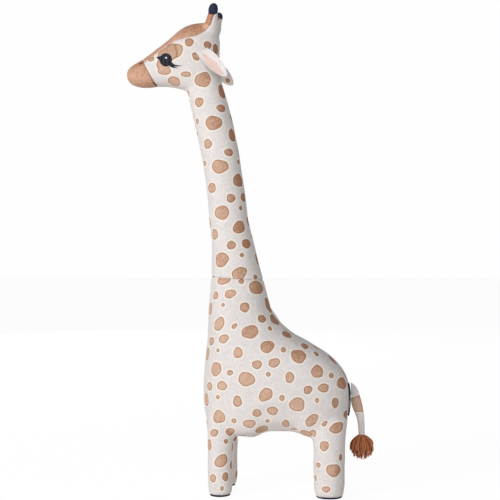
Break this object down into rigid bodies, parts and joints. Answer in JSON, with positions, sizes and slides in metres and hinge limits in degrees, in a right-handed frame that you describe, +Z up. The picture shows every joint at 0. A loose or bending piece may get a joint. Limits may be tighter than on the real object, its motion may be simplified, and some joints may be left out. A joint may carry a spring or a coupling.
{
  "type": "plush giraffe",
  "caption": "Standing plush giraffe with a long sprung neck, nodding head, flopping ears, a limp tail with a yarn tassel and four flat-soled legs.",
  "frame": {"origin": "On the floor, under the middle of the toy's length and width.", "axes": "+Z up, the muzzle towards -X and the tail towards +X, the toy's left side towards -Y."},
  "size_m": [0.3395, 0.114, 0.6703],
  "materials": {
    "plush_cloth": "short-pile velour, warm white with a printed tan spot pattern",
    "brown_cloth": "short-pile velour, caramel brown",
    "ear_lining": "short-pile velour, pale peach",
    "cap_cloth": "short-pile velour, near-black navy",
    "sole_cloth": "felt, near-black navy",
    "black_thread": "satin-stitch embroidery, near black",
    "white_thread": "satin-stitch embroidery, white",
    "brown_thread": "satin-stitch embroidery, dark brown",
    "tassel_yarn": "loose rust-brown yarn",
    "label_ribbon": "plain black woven ribbon",
    "sole_board": "plain stiffening board, hidden",
    "fibre_fill": "loose polyester fibre, hidden"
  },
  "bodies": {
    "root": {"body_left_panel": "plush_cloth", "body_right_panel": "plush_cloth", "belly_panel": "plush_cloth", "body_stuffing": "fibre_fill", "front_left_leg_cover": "plush_cloth", "front_left_leg_stuffing": "fibre_fill", "front_left_sole_board": "sole_board", "front_left_sole": "sole_cloth", "rear_left_leg_cover": "plush_cloth", "rear_left_leg_stuffing": "fibre_fill", "rear_left_sole_board": "sole_board", "rear_left_sole": "sole_cloth", "front_right_leg_cover": "plush_cloth", "front_right_leg_stuffing": "fibre_fill", "front_right_sole_board": "sole_board", "front_right_sole": "sole_cloth", "rear_right_leg_cover": "plush_cloth", "rear_right_leg_stuffing": "fibre_fill", "rear_right_sole_board": "sole_board", "rear_right_sole": "sole_cloth", "seam_label": "label_ribbon"},
    "neck": {"neck_left_panel": "plush_cloth", "neck_right_panel": "plush_cloth", "neck_stuffing": "fibre_fill"},
    "head": {"head_left_panel": "plush_cloth", "head_right_panel": "plush_cloth", "forehead_panel": "brown_cloth", "muzzle_panel": "brown_cloth", "head_stuffing": "fibre_fill", "left_eye": "black_thread", "left_eye_glint": "white_thread", "left_nostril": "brown_thread", "left_mouth_stitch": "brown_thread", "left_horn_front": "brown_cloth", "left_horn_back": "plush_cloth", "left_horn_stuffing": "fibre_fill", "left_horn_cap": "cap_cloth", "right_eye": "black_thread", "right_eye_glint": "white_thread", "right_nostril": "brown_thread", "right_mouth_stitch": "brown_thread", "right_horn_front": "brown_cloth", "right_horn_back": "plush_cloth", "right_horn_stuffing": "fibre_fill", "right_horn_cap": "cap_cloth"},
    "left_ear": {"left_ear_outer": "plush_cloth", "left_ear_lining": "ear_lining"},
    "right_ear": {"right_ear_outer": "plush_cloth", "right_ear_lining": "ear_lining"},
    "tail_upper": {"tail_upper": "plush_cloth"},
    "tail_lower": {"tail_lower": "plush_cloth"},
    "tassel": {"tassel": "tassel_yarn"}
  },
  "joints": [
    {"name": "neck_bend", "type": "hinge", "parent": "root", "child": "neck", "pos_m": [-0.0173, 0, 0.2655], "axis": [0, 1, 0], "range_deg": [-10, 10], "stiffness_Nm_per_rad": 4, "springref_deg": 0.5},
    {"name": "head_nod", "type": "hinge", "parent": "neck", "child": "head", "pos_m": [-0.0579, 0, 0.5235], "axis": [0, 1, 0], "range_deg": [-10, 12], "stiffness_Nm_per_rad": 1.5, "springref_deg": 0.45},
    {"name": "left_ear_flop", "type": "hinge", "parent": "head", "child": "left_ear", "pos_m": [-0.05965, -0.02967, 0.60161], "axis": [-0.7008, 0.0601, -0.7108], "range_deg": [-10, 60], "stiffness_Nm_per_rad": 0.01},
    {"name": "right_ear_flop", "type": "hinge", "parent": "head", "child": "right_ear", "pos_m": [-0.05965, 0.02967, 0.60161], "axis": [0.7008, 0.0601, 0.7108], "range_deg": [-10, 60], "stiffness_Nm_per_rad": 0.01},
    {"name": "tail_swing", "type": "hinge", "parent": "root", "child": "tail_upper", "pos_m": [0.1416, 0, 0.1412], "axis": [0, 0, 1], "range_deg": [-40, 40], "stiffness_Nm_per_rad": 0.01},
    {"name": "tail_lift", "type": "hinge", "parent": "tail_upper", "child": "tail_lower", "pos_m": [0.15104, 0, 0.11528], "axis": [0, 1, 0], "range_deg": [-50, 0]},
    {"name": "tassel_swing", "type": "hinge", "parent": "tail_lower", "child": "tassel", "pos_m": [0.1549, 0, 0.07944], "axis": [1, 0, 0], "range_deg": [-30, 30]}
  ]
}
